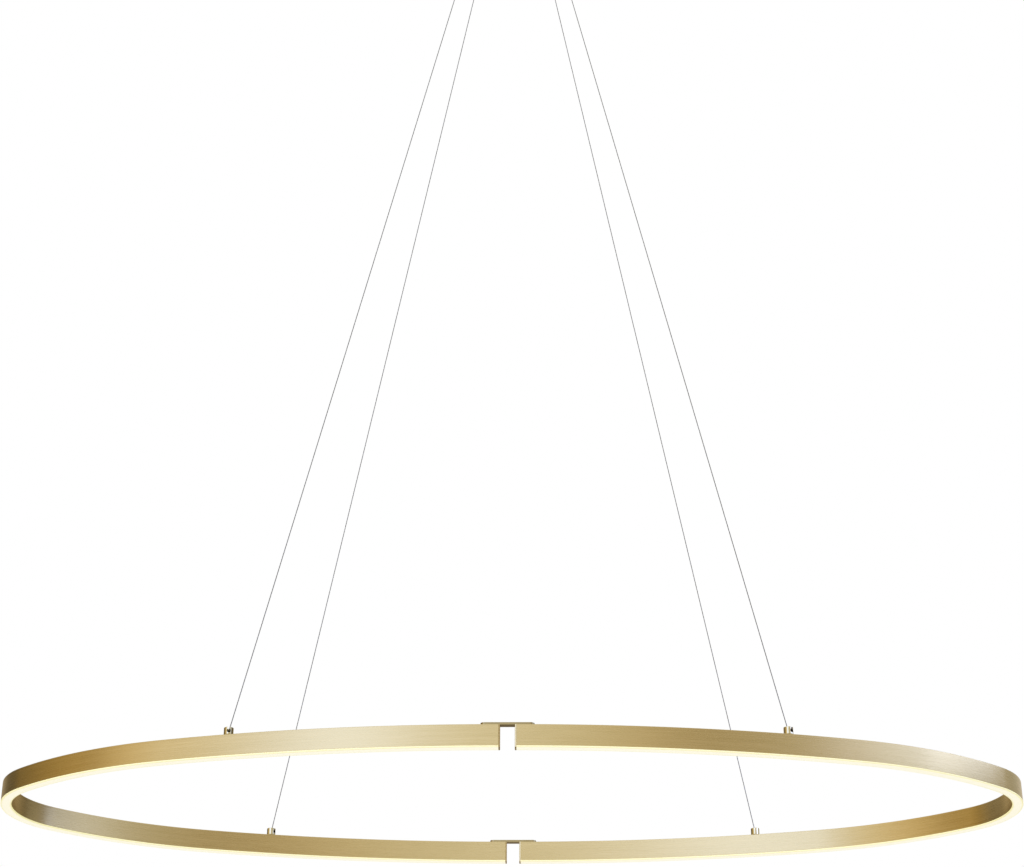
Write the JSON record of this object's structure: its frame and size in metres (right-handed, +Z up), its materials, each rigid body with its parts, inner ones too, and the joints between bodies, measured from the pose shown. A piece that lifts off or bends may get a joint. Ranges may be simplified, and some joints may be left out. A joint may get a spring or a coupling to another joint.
{
  "type": "oval ring pendant lamp",
  "caption": "Oval ring pendant lamp: two bent light channels hung level on steel cables from a round ceiling canopy.",
  "frame": {"origin": "middle of the ceiling bracket's top face, on the ceiling", "axes": "+Z up into the ceiling, +X along the oval's long axis, -Y towards the front"},
  "size_m": [1.3498, 0.54, 1.5738],
  "materials": {
    "gold_aluminium": "satin champagne-gold anodised",
    "opal_diffuser": "opal acrylic, lit from behind",
    "light_board": "white-masked metal-core board with an unbroken phosphor line",
    "polished_brass": "polished and lacquered",
    "gold_screw": "gold-coloured steel",
    "steel_cable": "fine stranded stainless steel",
    "insulator_nylon": "natural nylon",
    "zinc_steel": "bright zinc plated",
    "nickel_brass": "nickel-plated brass",
    "hardened_steel": "hardened, ground",
    "spring_steel": "stainless spring wire",
    "canopy_gold": "satin champagne-gold lacquer",
    "driver_plastic": "white polycarbonate",
    "terminal_plastic": "off-white polyamide"
  },
  "bodies": {
    "canopy": {"ceiling_bracket": "zinc_steel", "canopy_cup": "canopy_gold", "canopy_screws": "gold_screw", "power_supply": "driver_plastic", "driver_nuts": "zinc_steel", "terminal_block": "terminal_plastic", "gripper_nuts": "nickel_brass", "gripper_body_front_left": "polished_brass", "gripper_body_front_right": "polished_brass", "gripper_body_back_left": "polished_brass", "gripper_body_back_right": "polished_brass", "plunger_spring_front_left": "spring_steel", "plunger_spring_front_right": "spring_steel", "plunger_spring_back_left": "spring_steel", "plunger_spring_back_right": "spring_steel", "cable_tails": "steel_cable", "suspension_cable_front_left": "steel_cable", "suspension_cable_front_right": "steel_cable", "suspension_cable_back_left": "steel_cable", "suspension_cable_back_right": "steel_cable"},
    "ring": {"profile_left": "gold_aluminium", "profile_right": "gold_aluminium", "diffuser_left": "opal_diffuser", "diffuser_right": "opal_diffuser", "light_board_left": "light_board", "light_board_right": "light_board", "end_cap_front_left": "gold_aluminium", "end_cap_front_right": "gold_aluminium", "end_cap_back_left": "gold_aluminium", "end_cap_back_right": "gold_aluminium", "bridge_plate_front": "gold_aluminium", "bridge_plate_back": "gold_aluminium", "bridge_screws": "gold_screw", "cable_holder_front_left": "polished_brass", "cable_holder_front_right": "polished_brass", "cable_holder_back_left": "polished_brass", "cable_holder_back_right": "polished_brass", "holder_insulators": "insulator_nylon", "holder_nuts": "zinc_steel", "contact_pins": "polished_brass"},
    "plunger_front_left": {"release_plunger_front_left": "polished_brass", "locking_jaws_front_left": "hardened_steel"},
    "plunger_front_right": {"release_plunger_front_right": "polished_brass", "locking_jaws_front_right": "hardened_steel"},
    "plunger_back_left": {"release_plunger_back_left": "polished_brass", "locking_jaws_back_left": "hardened_steel"},
    "plunger_back_right": {"release_plunger_back_right": "polished_brass", "locking_jaws_back_right": "hardened_steel"},
    "terminal_front_left": {"ball_terminal_front_left": "steel_cable"},
    "terminal_front_right": {"ball_terminal_front_right": "steel_cable"},
    "terminal_back_left": {"ball_terminal_back_left": "steel_cable"},
    "terminal_back_right": {"ball_terminal_back_right": "steel_cable"}
  },
  "joints": [
    {"name": "ring_height", "type": "slide", "parent": "canopy", "child": "ring", "axis": [0, 0, 1], "range_m": [0, 0.5], "deforming": ["suspension_cable_front_left", "suspension_cable_front_right", "suspension_cable_back_left", "suspension_cable_back_right"]},
    {"name": "release_front_left", "type": "slide", "parent": "canopy", "child": "plunger_front_left", "axis": [0, 0, 1], "range_m": [0, 0.0025], "stiffness_N_per_m": 800, "springref_m": -0.003, "deforming": ["plunger_spring_front_left"]},
    {"name": "release_front_right", "type": "slide", "parent": "canopy", "child": "plunger_front_right", "axis": [0, 0, 1], "range_m": [0, 0.0025], "stiffness_N_per_m": 800, "springref_m": -0.003, "deforming": ["plunger_spring_front_right"]},
    {"name": "release_back_left", "type": "slide", "parent": "canopy", "child": "plunger_back_left", "axis": [0, 0, 1], "range_m": [0, 0.0025], "stiffness_N_per_m": 800, "springref_m": -0.003, "deforming": ["plunger_spring_back_left"]},
    {"name": "release_back_right", "type": "slide", "parent": "canopy", "child": "plunger_back_right", "axis": [0, 0, 1], "range_m": [0, 0.0025], "stiffness_N_per_m": 800, "springref_m": -0.003, "deforming": ["plunger_spring_back_right"]},
    {"name": "terminal_swivel_front_left", "type": "hinge", "parent": "ring", "child": "terminal_front_left", "pos_m": [-0.346, -0.22495, -1.5398], "axis": [-0.4901, 0.8716, 0], "range_deg": [0, 6.3]},
    {"name": "terminal_swivel_front_right", "type": "hinge", "parent": "ring", "child": "terminal_front_right", "pos_m": [0.346, -0.22495, -1.5398], "axis": [-0.4901, -0.8716, 0], "range_deg": [0, 6.3]},
    {"name": "terminal_swivel_back_left", "type": "hinge", "parent": "ring", "child": "terminal_back_left", "pos_m": [-0.346, 0.22495, -1.5398], "axis": [0.4901, 0.8716, 0], "range_deg": [0, 6.3]},
    {"name": "terminal_swivel_back_right", "type": "hinge", "parent": "ring", "child": "terminal_back_right", "pos_m": [0.346, 0.22495, -1.5398], "axis": [0.4901, -0.8716, 0], "range_deg": [0, 6.3]}
  ],
  "couplings": [
    {"joint": "terminal_swivel_front_left", "follows": "ring_height", "rad_per_m": 0.219},
    {"joint": "terminal_swivel_front_right", "follows": "ring_height", "rad_per_m": 0.219},
    {"joint": "terminal_swivel_back_left", "follows": "ring_height", "rad_per_m": 0.219},
    {"joint": "terminal_swivel_back_right", "follows": "ring_height", "rad_per_m": 0.219}
  ]
}
